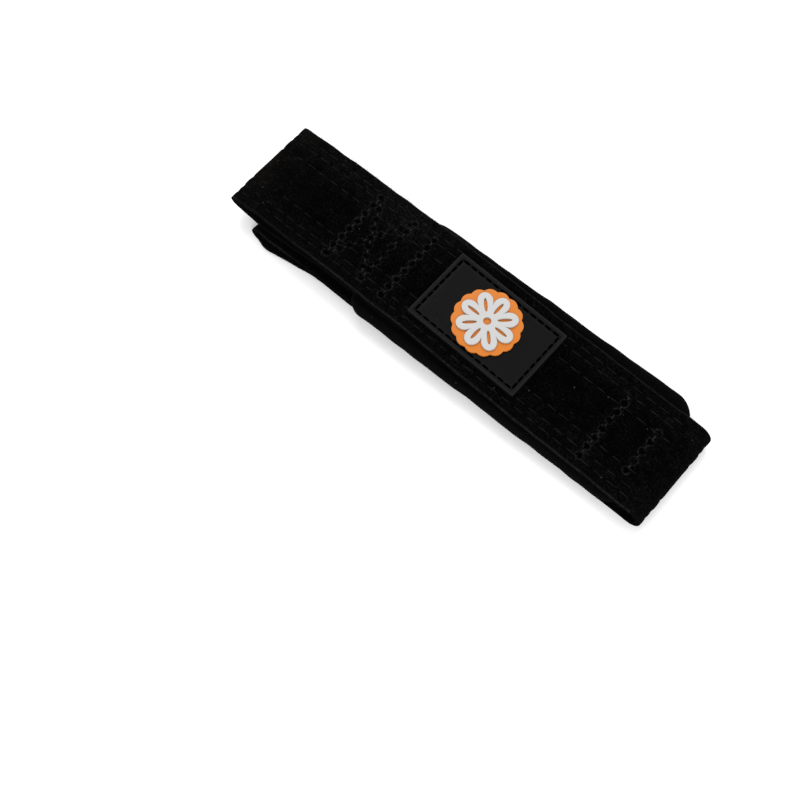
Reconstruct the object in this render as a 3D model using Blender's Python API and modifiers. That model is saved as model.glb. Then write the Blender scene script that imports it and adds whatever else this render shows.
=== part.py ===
"""Weightlifting strap, folded flat for storage.

A long suede strap has its end folded back and sewn into a hand loop. A foam pad is sewn under it
for the wrist, and a moulded rubber patch with a rosette is sewn on top. The bare tail turns under
the pad, runs back along the floor, turns in once more below the loop and ends in a round tip.

Lengths are in metres. The bundle lies along X, loop fold at -X, and stands on Z = 0. A "run" is a
distance along the bundle from the loop fold, so that X = run - BUNDLE_LENGTH / 2.
"""

import math
from collections import namedtuple

import bmesh
import bpy
import numpy as np
from mathutils import Matrix

# Suede strap
STRAP_WIDTH = 0.0400
STRAP_THICKNESS = 0.0022
STRAP_SHIFT = -0.0011  # the strap's centreline lies this far off the pad's
BUNDLE_LENGTH = 0.1910  # loop fold to far bend, outside
CLEARANCE = 0.0003  # kept between pieces that touch

# Hand loop: the strap's end, folded back and sewn on in a box of stitches
LOOP_OPENING = 0.0043
LOOP_FOLD_DEPTH = 0.0034  # the tight fold's height, between the middles of its two walls
LOOP_FOLD_REACH = 0.0028
LOOP_BELLY = 0.0175  # run where the loop stands widest open
LOOP_NOSE_DROP = 0.0012  # the loop's upper wall falls this far from its belly to the fold
BOX_START = 0.0442
BOX_LENGTH = 0.0255
LOOP_END_PAST_BOX = 0.0150

# Tail: the bare end, turned in below the loop
TAIL_SETBACK = 0.0115
TAIL_BEND_HEIGHT = 0.0050
TAIL_BEND_REACH = 0.0026
TAIL_CLOSES_OVER = 0.0300
TAIL_LENGTH_TURNED_IN = 0.07050
TAIL_TIP_RADIUS = 0.0150
TAIL_DRIFT_UNDER_PAD = -0.0008  # how far sideways the tail has wandered
TAIL_DRIFT_AT_BEND = -0.0046
TAIL_FOLD_SHARE = 0.35  # share of that drift left at the very fold
TAIL_FOLD_RUN = 0.0100  # run over which it grows to the whole
TAIL_DRIFT_AT_TIP = -0.0012
TAIL_SWINGS_OVER = 0.0360  # run over which it swings out to its bend, and back in

# Foam wrist pad
PAD_LENGTH = 0.1220
PAD_WIDTH = 0.0477
PAD_THICKNESS = 0.0052
PAD_CORNER_RADIUS = 0.0090
PAD_END_GAP = 0.0090  # from the pad's end to the far bend's outside
PAD_SKEW = math.radians(1.45)
PAD_SQUEEZE = 0.02  # share of its thickness that the pad gives below the loop's sewn end
PAD_EDGE_ROUND = 0.30  # share of its thickness
PAD_STEP = 0.0450  # run over which the strap, stiff under its patch, comes down off the loop's sewn end

# Rubber patch
PATCH_LENGTH = 0.0480
PATCH_WIDTH = 0.0300
PATCH_THICKNESS = 0.0018
PATCH_CENTRE = 0.1074
PATCH_SHIFT = 0.0005
PATCH_RIM = 0.0015
PATCH_GROOVE_WIDTH = 0.0011
PATCH_GROOVE_DEPTH = 0.0007
PATCH_RIM_HEIGHT = 0.0002  # the rim stands this far above the field

# Rosette on the patch
ROSETTE_RADIUS = 0.0128
ROSETTE_THICKNESS = 0.0008
ROSETTE_SCALLOPS = 16
ROSETTE_SCALLOP_DEPTH = 0.0007
RELIEF_RADIUS = 0.0110
RELIEF_VALLEY_RADIUS = 0.0062
RELIEF_THICKNESS = 0.0009
RELIEF_PETALS = 8
RELIEF_HUB_HOLE = 0.0014
RELIEF_SLOT_START = 0.0036
RELIEF_SLOT_END = 0.0088
RELIEF_SLOT_HALF_WIDTH = 0.0006

# How finely the shapes are divided
RUN_STEP = 0.0030
BEND_SEGMENTS = 10
STRAP_COLUMNS = 4
PAD_COLUMNS = 6
PATCH_SEGMENTS = 8
OUTLINE_POINTS = 96
HOLE_POINTS = 16

# Places worked out from the sizes above, as runs and heights
LAYER = STRAP_THICKNESS + CLEARANCE
HALF_WALL = STRAP_THICKNESS / 2
LOOP_END = BOX_START + BOX_LENGTH + LOOP_END_PAST_BOX
TAIL_TIP = TAIL_SETBACK + TAIL_LENGTH_TURNED_IN
PAD_END = BUNDLE_LENGTH - PAD_END_GAP
PAD_START = PAD_END - PAD_LENGTH
PAD_MIDDLE = (PAD_START + PAD_END) / 2
TAIL_RISE = TAIL_BEND_HEIGHT - STRAP_THICKNESS - LAYER

Lay = namedtuple("Lay", "name start end height drift")


def ease(share):
    """0 to 1 with level ends, for a share from 0 to 1 and flat beyond."""
    share = min(max(share, 0.0), 1.0)
    return share * share * (3.0 - 2.0 * share)


def between(low, high, share):
    """The value a share of the way from low to high."""
    return low + (high - low) * share


def floor_height(run):
    """The strap's middle where the tail runs back along the floor."""
    return HALF_WALL


def tail_height(run):
    """The strap's middle where the tail is turned in: raised at its bend, then closed on the floor run."""
    closed = HALF_WALL + LAYER
    return closed + TAIL_RISE * (1.0 - ease((run - TAIL_SETBACK) / TAIL_CLOSES_OVER))


def pad_bottom(run):
    """The pad rests on two layers up to the tail's tip, then comes down to one at its far end."""
    share = min(max((run - TAIL_TIP) / (PAD_END - TAIL_TIP), 0.0), 1.0)
    return between(2 * LAYER, LAYER, share)


def past_loop_end(run):
    """0 where the loop's sewn end lies on the pad, 1 where the strap itself does, straight between."""
    return min(max((run - LOOP_END) / PAD_STEP, 0.0), 1.0)


def pad_top(run):
    """The pad's upper face, squeezed where the loop's sewn end lies on it."""
    squeeze = PAD_SQUEEZE * PAD_THICKNESS * (1.0 - past_loop_end(run))
    return pad_bottom(run) + PAD_THICKNESS - squeeze


def loop_opening(run):
    """How far the loop's two walls stand apart: widest up to its belly, closed where its box starts."""
    return LOOP_OPENING * (1.0 - ease((run - LOOP_BELLY) / (BOX_START - LOOP_BELLY)))


def upper_wall_height(run):
    """The upper wall without its fall to the fold: from above the open loop down to the pad."""
    on_tail = tail_height(TAIL_SETBACK) + 2 * LAYER + LOOP_OPENING
    on_pad = pad_top(LOOP_END) + CLEARANCE + HALF_WALL + LAYER
    return between(on_tail, on_pad, ease((run - LOOP_BELLY) / (PAD_START - LOOP_BELLY)))


def loop_floor_height(run):
    """The loop's lower wall without its fold, held under the upper one by the opening."""
    return upper_wall_height(run) - LAYER - loop_opening(run)


def short_of_belly(run):
    """1 where the hand loop's fold begins, 0 from its belly on."""
    fold_end = HALF_WALL + LOOP_FOLD_REACH
    return 1.0 - ease((run - fold_end) / (LOOP_BELLY - fold_end))


def top_height(run):
    """The middle of the strap's upper run, from the loop fold to the far bend."""
    if run > LOOP_END:
        return pad_top(run) + CLEARANCE + HALF_WALL + LAYER * (1.0 - past_loop_end(run))
    return upper_wall_height(run) - LOOP_NOSE_DROP * short_of_belly(run)


def loop_return_height(run):
    """The middle of the loop's lower wall, which falls from the fold to the loop's belly."""
    fold_end = HALF_WALL + LOOP_FOLD_REACH
    drop = top_height(fold_end) - LOOP_FOLD_DEPTH - loop_floor_height(fold_end)
    return loop_floor_height(run) + drop * short_of_belly(run)


def no_drift(run):
    """The loop and the upper run lie straight."""
    return 0.0


def swing(run):
    """A share at the tail's fold, about 1 just past it, 0 where the tail has swung back under the bundle."""
    past_fold = run - TAIL_SETBACK
    grown = TAIL_FOLD_SHARE + (1.0 - TAIL_FOLD_SHARE) * ease(past_fold / TAIL_FOLD_RUN)
    return grown * (1.0 - ease(past_fold / TAIL_SWINGS_OVER))


def floor_drift(run):
    """The floor run wanders slowly sideways, and more where it nears the tail's bend."""
    wandered = TAIL_DRIFT_UNDER_PAD * (BUNDLE_LENGTH - run) / (BUNDLE_LENGTH - TAIL_SETBACK)
    return between(wandered, TAIL_DRIFT_AT_BEND, swing(run))


def tail_drift(run):
    """The turned-in tail swings back from its bend at once, then wanders to its tip."""
    share = (run - TAIL_SETBACK) / TAIL_LENGTH_TURNED_IN
    wandered = between(TAIL_DRIFT_UNDER_PAD, TAIL_DRIFT_AT_TIP, share)
    return between(wandered, TAIL_DRIFT_AT_BEND, swing(run) / 2)


def far_bend_reach():
    """The far bend is round, unless the pad's end leaves it less room."""
    half_height = (top_height(PAD_END) - floor_height(PAD_END)) / 2
    return min(half_height, PAD_END_GAP - HALF_WALL - CLEARANCE)


def strap_lays():
    """The strap's four runs in order, from the loop's sewn end to the tail's tip."""
    loop_fold = HALF_WALL + LOOP_FOLD_REACH
    far_bend = BUNDLE_LENGTH - HALF_WALL - far_bend_reach()
    tail_bend = TAIL_SETBACK + HALF_WALL + TAIL_BEND_REACH
    return [
        Lay("loop return", LOOP_END, loop_fold, loop_return_height, no_drift),
        Lay("top", loop_fold, far_bend, top_height, no_drift),
        Lay("floor", far_bend, tail_bend, floor_height, floor_drift),
        Lay("tail", tail_bend, TAIL_TIP, tail_height, tail_drift),
    ]


def lay_stations(lay, width_at):
    """Stations along one run: run, height, drift and half width."""
    steps = max(2, round(abs(lay.end - lay.start) / RUN_STEP))
    shares = np.linspace(0.0, 1.0, steps + 1)
    if lay.end == TAIL_TIP:
        rounding = 1.0 - TAIL_TIP_RADIUS / abs(lay.end - lay.start)
        turned = rounding + (1.0 - rounding) * np.sin(np.linspace(0.0, math.pi / 2, BEND_SEGMENTS))
        shares = np.concatenate([shares[shares < rounding - 0.02], turned])
    rows = []
    for share in shares:
        run = between(lay.start, lay.end, share)
        rows.append((run, lay.height(run), lay.drift(run), width_at(lay, run)))
    return rows


def bend_stations(before, after, reach):
    """Half an ellipse from the end of one run to the start of the next, without its two ends."""
    run, start, start_drift, half_width = before
    end, end_drift = after[1:3]
    rows = []
    for angle in np.linspace(0.0, math.pi, BEND_SEGMENTS + 1)[1:-1]:
        out = run + reach * math.sin(angle)
        height = (start + end) / 2 + (start - end) / 2 * math.cos(angle)
        rows.append((out, height, between(start_drift, end_drift, angle / math.pi), half_width))
    return rows


def rounded_half_width(distance, half_width, radius):
    """Half the width at a distance from a square end whose corners have this radius."""
    short = max(radius - distance, 0.0)
    return half_width - radius + math.sqrt(max(radius * radius - short * short, 0.0))


def strap_width_at(lay, run):
    """Half the strap's width: whole, but for the tail's round tip."""
    if lay.name == "tail":
        return rounded_half_width(TAIL_TIP - run, STRAP_WIDTH / 2, TAIL_TIP_RADIUS)
    return STRAP_WIDTH / 2


def strap_stations():
    """Every station of the folded strap, with the three bends between the four runs."""
    reaches = [-LOOP_FOLD_REACH, far_bend_reach(), -TAIL_BEND_REACH]
    runs = [lay_stations(lay, strap_width_at) for lay in strap_lays()]
    stations = list(runs[0])
    for following, reach in zip(runs[1:], reaches):
        stations += bend_stations(stations[-1], following[0], reach)
        stations += following
    return stations


def new_object(name, data, material, collection):
    """An object with one material, in the part's collection."""
    obj = bpy.data.objects.new(name, data)
    data.materials.append(material)
    collection.objects.link(obj)
    return obj


def mesh_from(name, bm):
    """A smooth-shaded mesh from a bmesh, with its normals pointing out."""
    bmesh.ops.recalc_face_normals(bm, faces=bm.faces)
    mesh = bpy.data.meshes.new(name)
    bm.to_mesh(mesh)
    bm.free()
    mesh.shade_smooth()
    mesh.set_sharp_from_angle(angle=math.radians(40))
    return mesh


def sheet(rows, columns):
    """A flat grid of rows by columns, and each vertex's row and column."""
    bm = bmesh.new()
    bmesh.ops.create_grid(bm, x_segments=rows - 1, y_segments=columns - 1, size=0.5)
    places = {}
    for vert in bm.verts:
        row = round((vert.co.x + 0.5) * (rows - 1))
        column = round((vert.co.y + 0.5) * (columns - 1))
        places[vert] = (row, column)
    return bm, places


def slab(rows, columns):
    """The same grid with a second one above it and walls between: vertex to row, column and level."""
    bm, places = sheet(rows, columns)
    levels = {vert: (*place, 0) for vert, place in places.items()}
    corners = {place: vert for vert, place in places.items()}
    rise = 1.0
    raised = bmesh.ops.extrude_face_region(bm, geom=list(bm.faces), use_keep_orig=True)
    tops = [item for item in raised["geom"] if isinstance(item, bmesh.types.BMVert)]
    nearest = {(round(v.co.x, 6), round(v.co.y, 6)): place for place, v in corners.items()}
    for vert in tops:
        levels[vert] = (*nearest[(round(vert.co.x, 6), round(vert.co.y, 6))], 1)
    bmesh.ops.translate(bm, verts=tops, vec=(0.0, 0.0, rise))
    return bm, levels


def build_strap(collection, material):
    """The suede strap: a flat sheet laid along its folds and given its wall."""
    stations = strap_stations()
    columns = STRAP_COLUMNS + 1
    bm, places = sheet(len(stations), columns)
    for vert, (row, column) in places.items():
        run, height, drift, half_width = stations[row]
        across = between(-half_width, half_width, column / STRAP_COLUMNS)
        vert.co = (run - BUNDLE_LENGTH / 2, STRAP_SHIFT + drift + across, height)
    obj = new_object("suede_strap", mesh_from("suede_strap", bm), material, collection)
    wall = obj.modifiers.new("wall", "SOLIDIFY")
    wall.thickness = STRAP_THICKNESS
    wall.offset = 0.0
    wall.use_even_offset = True
    return obj


def build_pad(collection, material):
    """The foam pad: a slab between the tail and the strap, with round corners and edges."""
    turn = np.sin(np.linspace(0.0, math.pi / 2, BEND_SEGMENTS))
    corner = PAD_CORNER_RADIUS * (1.0 - turn[::-1])
    middle_steps = round((PAD_LENGTH - 2 * PAD_CORNER_RADIUS) / RUN_STEP)
    middle = np.linspace(PAD_CORNER_RADIUS, PAD_LENGTH - PAD_CORNER_RADIUS, middle_steps + 1)
    along = np.concatenate([corner[:-1], middle, (PAD_LENGTH - corner[::-1])[1:]])
    bm, levels = slab(len(along), PAD_COLUMNS + 1)
    for vert, (row, column, level) in levels.items():
        distance = min(along[row], PAD_LENGTH - along[row])
        half_width = rounded_half_width(distance, PAD_WIDTH / 2, PAD_CORNER_RADIUS)
        run = PAD_START + along[row]
        across = between(-half_width, half_width, column / PAD_COLUMNS)
        skew = (run - PAD_MIDDLE) * math.tan(PAD_SKEW)
        height = pad_top(run) if level else pad_bottom(run)
        vert.co = (run - BUNDLE_LENGTH / 2, across + skew, height)
    obj = new_object("wrist_pad", mesh_from("wrist_pad", bm), material, collection)
    edge = obj.modifiers.new("soft edge", "BEVEL")
    edge.width = PAD_EDGE_ROUND * PAD_THICKNESS * (1.0 - PAD_SQUEEZE)
    edge.segments = 3
    edge.limit_method = "ANGLE"
    edge.angle_limit = math.radians(50)
    return obj


def top_face(run):
    """Height of the strap's upper face."""
    return top_height(run) + HALF_WALL


def patch_lines(size):
    """Distances across the patch where its section changes: rim, groove, field and back."""
    edge = [0.0, PATCH_RIM, PATCH_RIM + PATCH_GROOVE_WIDTH / 2, PATCH_RIM + PATCH_GROOVE_WIDTH]
    field = np.linspace(edge[-1], size - edge[-1], PATCH_SEGMENTS + 1)[1:-1]
    return np.concatenate([edge, field, [size - value for value in edge[::-1]]])


def patch_height(inward):
    """The patch's thickness at a distance in from its border."""
    field = PATCH_THICKNESS - PATCH_RIM_HEIGHT
    across = [0.0, PATCH_RIM, PATCH_RIM + PATCH_GROOVE_WIDTH / 2, PATCH_RIM + PATCH_GROOVE_WIDTH]
    heights = [PATCH_THICKNESS, PATCH_THICKNESS, PATCH_THICKNESS - PATCH_GROOVE_DEPTH, field]
    return float(np.interp(inward, across, heights))


def build_patch(collection, material):
    """The rubber patch: a rim, a stitching groove and a flat field, lying along the strap."""
    along = patch_lines(PATCH_LENGTH)
    across = patch_lines(PATCH_WIDTH)
    bm, levels = slab(len(along), len(across))
    for vert, (row, column, level) in levels.items():
        x, y = along[row], across[column]
        run = PATCH_CENTRE - PATCH_LENGTH / 2 + x
        inward = min(x, y, PATCH_LENGTH - x, PATCH_WIDTH - y)
        height = top_face(run) + CLEARANCE + (patch_height(inward) if level else 0.0)
        side = STRAP_SHIFT + PATCH_SHIFT - PATCH_WIDTH / 2 + y
        vert.co = (run - BUNDLE_LENGTH / 2, side, height)
    return new_object("rubber_patch", mesh_from("rubber_patch", bm), material, collection)


def scalloped_outline():
    """Radius of the rosette's ground against the angle: a circle with shallow round scallops."""
    points = []
    for angle in np.linspace(0.0, 2 * math.pi, OUTLINE_POINTS, endpoint=False):
        scallop = abs(math.sin(ROSETTE_SCALLOPS * angle / 2))
        radius = ROSETTE_RADIUS - ROSETTE_SCALLOP_DEPTH * (1.0 - scallop)
        points.append((radius * math.cos(angle), radius * math.sin(angle)))
    return points


def petal_outline():
    """Radius of the relief against the angle: round petals with valleys between them."""
    points = []
    for angle in np.linspace(0.0, 2 * math.pi, OUTLINE_POINTS, endpoint=False):
        petal = math.sqrt(abs(math.cos(RELIEF_PETALS * angle / 2)))
        radius = between(RELIEF_VALLEY_RADIUS, RELIEF_RADIUS, petal)
        points.append((radius * math.cos(angle), radius * math.sin(angle)))
    return points


def ellipse(centre, half_length, half_width, angle):
    """A closed ellipse whose long axis points away from the rosette's middle."""
    points = []
    for turn in np.linspace(0.0, 2 * math.pi, HOLE_POINTS, endpoint=False):
        out = centre + half_length * math.cos(turn)
        side = half_width * math.sin(turn)
        x = out * math.cos(angle) - side * math.sin(angle)
        y = out * math.sin(angle) + side * math.cos(angle)
        points.append((x, y))
    return points


def flat_plate(name, outlines, thickness, collection, material):
    """A flat plate from closed outlines; those inside the first one are holes."""
    curve = bpy.data.curves.new(name, "CURVE")
    curve.dimensions = "2D"
    curve.fill_mode = "BOTH"
    curve.extrude = thickness / 2
    for outline in outlines:
        spline = curve.splines.new("POLY")
        spline.points.add(len(outline) - 1)
        for point, (x, y) in zip(spline.points, outline):
            point.co = (x, y, 0.0, 1.0)
        spline.use_cyclic_u = True
    return new_object(name, curve, material, collection)


def set_on_patch(obj, height, thickness):
    """Lays a flat plate on the patch, along its slope, this high above the strap's face."""
    rise = top_face(PATCH_CENTRE + ROSETTE_RADIUS) - top_face(PATCH_CENTRE - ROSETTE_RADIUS)
    slope = math.atan2(rise, 2 * ROSETTE_RADIUS)
    x = PATCH_CENTRE - BUNDLE_LENGTH / 2
    z = top_face(PATCH_CENTRE) + height + thickness / 2
    place = Matrix.Translation((x, STRAP_SHIFT + PATCH_SHIFT, z))
    obj.matrix_world = place @ Matrix.Rotation(-slope, 4, "Y")


def build_rosette(collection, ground_material, relief_material):
    """The rosette: a scalloped ground and, on it, a relief of petals with a slot in each."""
    field = CLEARANCE + PATCH_THICKNESS - PATCH_RIM_HEIGHT
    ground = flat_plate(
        "rosette_ground", [scalloped_outline()], ROSETTE_THICKNESS, collection, ground_material
    )
    set_on_patch(ground, field + CLEARANCE, ROSETTE_THICKNESS)
    hub = ellipse(0.0, RELIEF_HUB_HOLE, RELIEF_HUB_HOLE, 0.0)
    slot_centre = (RELIEF_SLOT_START + RELIEF_SLOT_END) / 2
    slot_half = (RELIEF_SLOT_END - RELIEF_SLOT_START) / 2
    slots = [
        ellipse(slot_centre, slot_half, RELIEF_SLOT_HALF_WIDTH, 2 * math.pi * petal / RELIEF_PETALS)
        for petal in range(RELIEF_PETALS)
    ]
    relief = flat_plate(
        "rosette_relief", [petal_outline(), hub, *slots], RELIEF_THICKNESS, collection, relief_material
    )
    above_ground = field + CLEARANCE + ROSETTE_THICKNESS + CLEARANCE
    set_on_patch(relief, above_ground, RELIEF_THICKNESS)


def principled(name, colour, roughness):
    """A plain Principled material with this colour and roughness."""
    material = bpy.data.materials.new(name)
    material.use_nodes = True
    shader = material.node_tree.nodes["Principled BSDF"]
    shader.inputs["Base Color"].default_value = (*colour, 1.0)
    shader.inputs["Roughness"].default_value = roughness
    shader.inputs["Metallic"].default_value = 0.0
    return material


def clear_scene():
    """Removes whatever the scene holds."""
    for obj in list(bpy.data.objects):
        bpy.data.objects.remove(obj)


def main():
    clear_scene()
    collection = bpy.data.collections.new("weightlifting_strap")
    bpy.context.scene.collection.children.link(collection)
    build_strap(collection, principled("black_suede", (0.012, 0.012, 0.013), 0.95))
    build_pad(collection, principled("grey_foam", (0.030, 0.030, 0.033), 0.90))
    build_patch(collection, principled("black_rubber", (0.025, 0.025, 0.026), 0.55))
    orange = principled("orange_rubber", (0.85, 0.30, 0.04), 0.45)
    white = principled("white_rubber", (0.80, 0.80, 0.80), 0.45)
    build_rosette(collection, orange, white)


main()
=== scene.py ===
"""Looks of a weightlifting strap, folded flat: suede strip, foam wrist pad, rubber patch, stitching.

Every surface is a numpy formula put into a mesh. Lengths are in metres. A "run" is a distance along
the bundle from the hand loop's fold, so that X = run - length / 2.
"""

from __future__ import annotations

import logging
import math
from dataclasses import dataclass, field
from enum import Enum
from typing import Callable, Iterable, Sequence

import bmesh
import bpy
import numpy as np
from mathutils import Matrix

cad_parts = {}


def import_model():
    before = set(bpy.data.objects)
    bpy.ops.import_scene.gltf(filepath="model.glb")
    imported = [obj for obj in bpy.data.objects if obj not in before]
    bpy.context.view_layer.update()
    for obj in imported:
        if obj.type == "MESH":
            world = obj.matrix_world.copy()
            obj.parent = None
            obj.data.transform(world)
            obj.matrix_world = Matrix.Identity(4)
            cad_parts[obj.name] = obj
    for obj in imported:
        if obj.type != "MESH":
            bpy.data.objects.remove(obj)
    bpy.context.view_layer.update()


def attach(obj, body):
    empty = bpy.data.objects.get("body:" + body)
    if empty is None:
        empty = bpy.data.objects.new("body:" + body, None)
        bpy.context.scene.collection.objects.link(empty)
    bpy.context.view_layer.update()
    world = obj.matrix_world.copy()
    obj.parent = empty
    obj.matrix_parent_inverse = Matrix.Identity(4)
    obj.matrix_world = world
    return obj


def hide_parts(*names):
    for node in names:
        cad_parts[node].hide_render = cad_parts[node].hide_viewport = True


log = logging.getLogger("lifting_strap")
Array = np.ndarray


# ---------------------------------------------------------------- shapes


def ease(share: Array) -> Array:
    """Smooth step with level ends: s squared times (3 - 2 s), s held between 0 and 1.

    Args:
        share: Any numbers.

    Returns:
        Numbers from 0 to 1.
    """
    held = np.clip(share, 0.0, 1.0)
    return held * held * (3.0 - 2.0 * held)


def blend(low: Array, high: Array, share: Array) -> Array:
    """The value a share of the way from low to high.

    Args:
        low: Value at share 0.
        high: Value at share 1.
        share: Share of the way.

    Returns:
        The blended values.
    """
    return low + (high - low) * share


def bell(distance: Array, width: float) -> Array:
    """A bell of height 1: exp of minus the square of distance over width.

    Args:
        distance: Distances from the middle.
        width: Distance at which the bell has fallen to 1/e.

    Returns:
        Heights from 0 to 1.
    """
    return np.exp(-np.square(distance / width))


def ripple(along: Array, across: Array, length: float, phase: float) -> Array:
    """Uneven waves from -1 to 1: a sum of four slanted sines with unlike lengths.

    Args:
        along: First coordinate.
        across: Second coordinate.
        length: Length of the longest wave.
        phase: Moves the waves, so that two calls differ.

    Returns:
        Heights from about -1 to 1.
    """
    turn = 2 * math.pi / length
    total = np.zeros(np.broadcast(along, across).shape)
    for step, (rate, slant, share) in enumerate(
        ((1.0, 0.35, 0.4), (1.73, -0.8, 0.27), (2.91, 1.6, 0.2), (4.37, -2.6, 0.13))
    ):
        total = total + share * np.sin(turn * (rate * along + slant * across) + phase * (step + 1.7))
    return total


@dataclass
class Surface:
    """Points, faces and per-point values of one mesh to be."""

    points: Array
    quads: Array
    caps: list[list[int]] = field(default_factory=list)
    values: dict[str, Array] = field(default_factory=dict)

    def to_object(self, name: str, smooth_angle: float = 50.0) -> bpy.types.Object:
        """Puts the surface into a new object at the origin.

        Args:
            name: Name of the object and its mesh.
            smooth_angle: Edges sharper than this many degrees stay sharp.

        Returns:
            The linked object.
        """
        mesh = bpy.data.meshes.new(name)
        mesh.from_pydata(self.points.tolist(), [], self.quads.tolist() + self.caps)
        for key, numbers in self.values.items():
            layer = mesh.attributes.new(key, "FLOAT", "POINT")
            layer.data.foreach_set("value", np.ascontiguousarray(numbers, dtype=np.float32))
        mesh.shade_smooth()
        mesh.set_sharp_from_angle(angle=math.radians(smooth_angle))
        mesh.update()
        obj = bpy.data.objects.new(name, mesh)
        bpy.context.scene.collection.objects.link(obj)
        return obj


def grid_quads(rows: int, columns: int, wrap: bool = False) -> Array:
    """Faces of a grid of points numbered row by row.

    Args:
        rows: Number of rows.
        columns: Number of points in a row.
        wrap: Whether a row's last point joins its first.

    Returns:
        Four point numbers for each face.
    """
    first = np.arange(rows - 1)[:, None] * columns
    last = columns if wrap else columns - 1
    column = np.arange(last)[None, :]
    following = (column + 1) % columns
    corners = (first + column, first + following, first + columns + following, first + columns + column)
    return np.stack(corners, axis=-1).reshape(-1, 4)


def tubes(points: Array, up: Array, radii: Array, sides: int, twist: float = 0.0) -> Surface:
    """Many short round threads: a circle carried along each line of points, closed at both ends.

    Args:
        points: Threads by points by three.
        up: One direction for each thread, across its line.
        radii: Radius at each point of a line.
        sides: Points on the circle.
        twist: Turns of the ply along a thread, kept as the value "twist".

    Returns:
        The threads as one surface.
    """
    count, steps, _ = points.shape
    tangent = np.gradient(points, axis=1)
    tangent /= np.linalg.norm(tangent, axis=2, keepdims=True) + 1e-12
    side = np.cross(up[:, None, :], tangent)
    side /= np.linalg.norm(side, axis=2, keepdims=True) + 1e-12
    rise = np.cross(tangent, side)
    angle = np.linspace(0.0, 2 * math.pi, sides, endpoint=False)
    ring = side[:, :, None] * np.cos(angle)[:, None] + rise[:, :, None] * np.sin(angle)[:, None]
    body = points[:, :, None] + ring * radii[None, :, None, None]
    one = grid_quads(steps, sides, wrap=True)[:, ::-1]
    quads = (one[None] + (np.arange(count) * steps * sides)[:, None, None]).reshape(-1, 4)
    start = np.arange(count)[:, None] * steps * sides
    around = np.arange(sides)[None, :]
    caps = (start + around).tolist() + (start + (steps - 1) * sides + around[:, ::-1]).tolist()
    along = np.linspace(0.0, 1.0, steps)[None, :, None] * twist
    ply = 0.5 + 0.5 * np.cos(2 * math.pi * along + angle[None, None, :] + np.zeros((count, 1, 1)))
    return Surface(body.reshape(-1, 3), quads, caps, {"twist": ply.reshape(-1)})


def plate_lines(size: float, edge: Sequence[float], step: float) -> Array:
    """Grid lines across a plate, crowded at both borders.

    Args:
        size: The plate's size.
        edge: Distances in from the border that each need a line.
        step: Spacing of the lines between.

    Returns:
        Positions from 0 to size.
    """
    inner = np.linspace(edge[-1], size - edge[-1], max(2, round((size - 2 * edge[-1]) / step)) + 1)
    return np.concatenate([edge[:-1], inner, size - np.array(edge[:-1])[::-1]])


def inset(x: Array, y: Array, half_x: float, half_y: float, corner: float) -> Array:
    """Distance in from a rectangle with round corners: minus its signed distance.

    Args:
        x: Places from the rectangle's middle.
        y: Places from the rectangle's middle.
        half_x: Half its length.
        half_y: Half its width.
        corner: Radius of its corners.

    Returns:
        Distances, positive inside.
    """
    dx = np.abs(x) - (half_x - corner)
    dy = np.abs(y) - (half_y - corner)
    outside = np.hypot(np.maximum(dx, 0.0), np.maximum(dy, 0.0))
    return corner - outside - np.minimum(np.maximum(dx, dy), 0.0)


def round_ended(distance: Array, half_width: float, radius: float) -> Array:
    """Half the width at a distance from an end with round corners.

    Args:
        distance: Distances in from the end.
        half_width: Half the full width.
        radius: Radius of the end's corners.

    Returns:
        Half widths.
    """
    short = np.clip(radius - distance, 0.0, radius)
    return half_width - radius + np.sqrt(np.square(radius) - np.square(short))


# ---------------------------------------------------------------- finishes


class Wire:
    """A socket whose arithmetic in Python adds Math nodes."""

    def __init__(self, finish: "Finish", socket: bpy.types.NodeSocket) -> None:
        """Keeps the finish and the socket."""
        self.finish = finish
        self.socket = socket

    def math(self, operation: str, *others: "Wire | float") -> "Wire":
        """One Math node on this value.

        Args:
            operation: The node's operation.
            others: The values of its other sockets.

        Returns:
            The node's result.
        """
        values = dict(enumerate((self, *others)))
        return self.finish.node("ShaderNodeMath", {"operation": operation}, values)

    def __add__(self, other: "Wire | float") -> "Wire":
        """This plus other."""
        return self.math("ADD", other)

    __radd__ = __add__

    def __mul__(self, other: "Wire | float") -> "Wire":
        """This times other."""
        return self.math("MULTIPLY", other)

    __rmul__ = __mul__

    def __sub__(self, other: "Wire | float") -> "Wire":
        """This minus other."""
        return self.math("SUBTRACT", other)

    def __rsub__(self, other: float) -> "Wire":
        """Other minus this."""
        return (self * -1.0) + other

    def __pow__(self, other: float) -> "Wire":
        """This to a power."""
        return self.math("POWER", other)

    def clamped(self) -> "Wire":
        """This held between 0 and 1."""
        return self.math("MAXIMUM", 0.0).math("MINIMUM", 1.0)

    def between(self, low: float, high: float) -> "Wire":
        """0 at low to 1 at high, held there beyond.

        Args:
            low: Value that gives 0.
            high: Value that gives 1.

        Returns:
            The share.
        """
        return ((self - low) * (1.0 / (high - low))).clamped()


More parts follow.
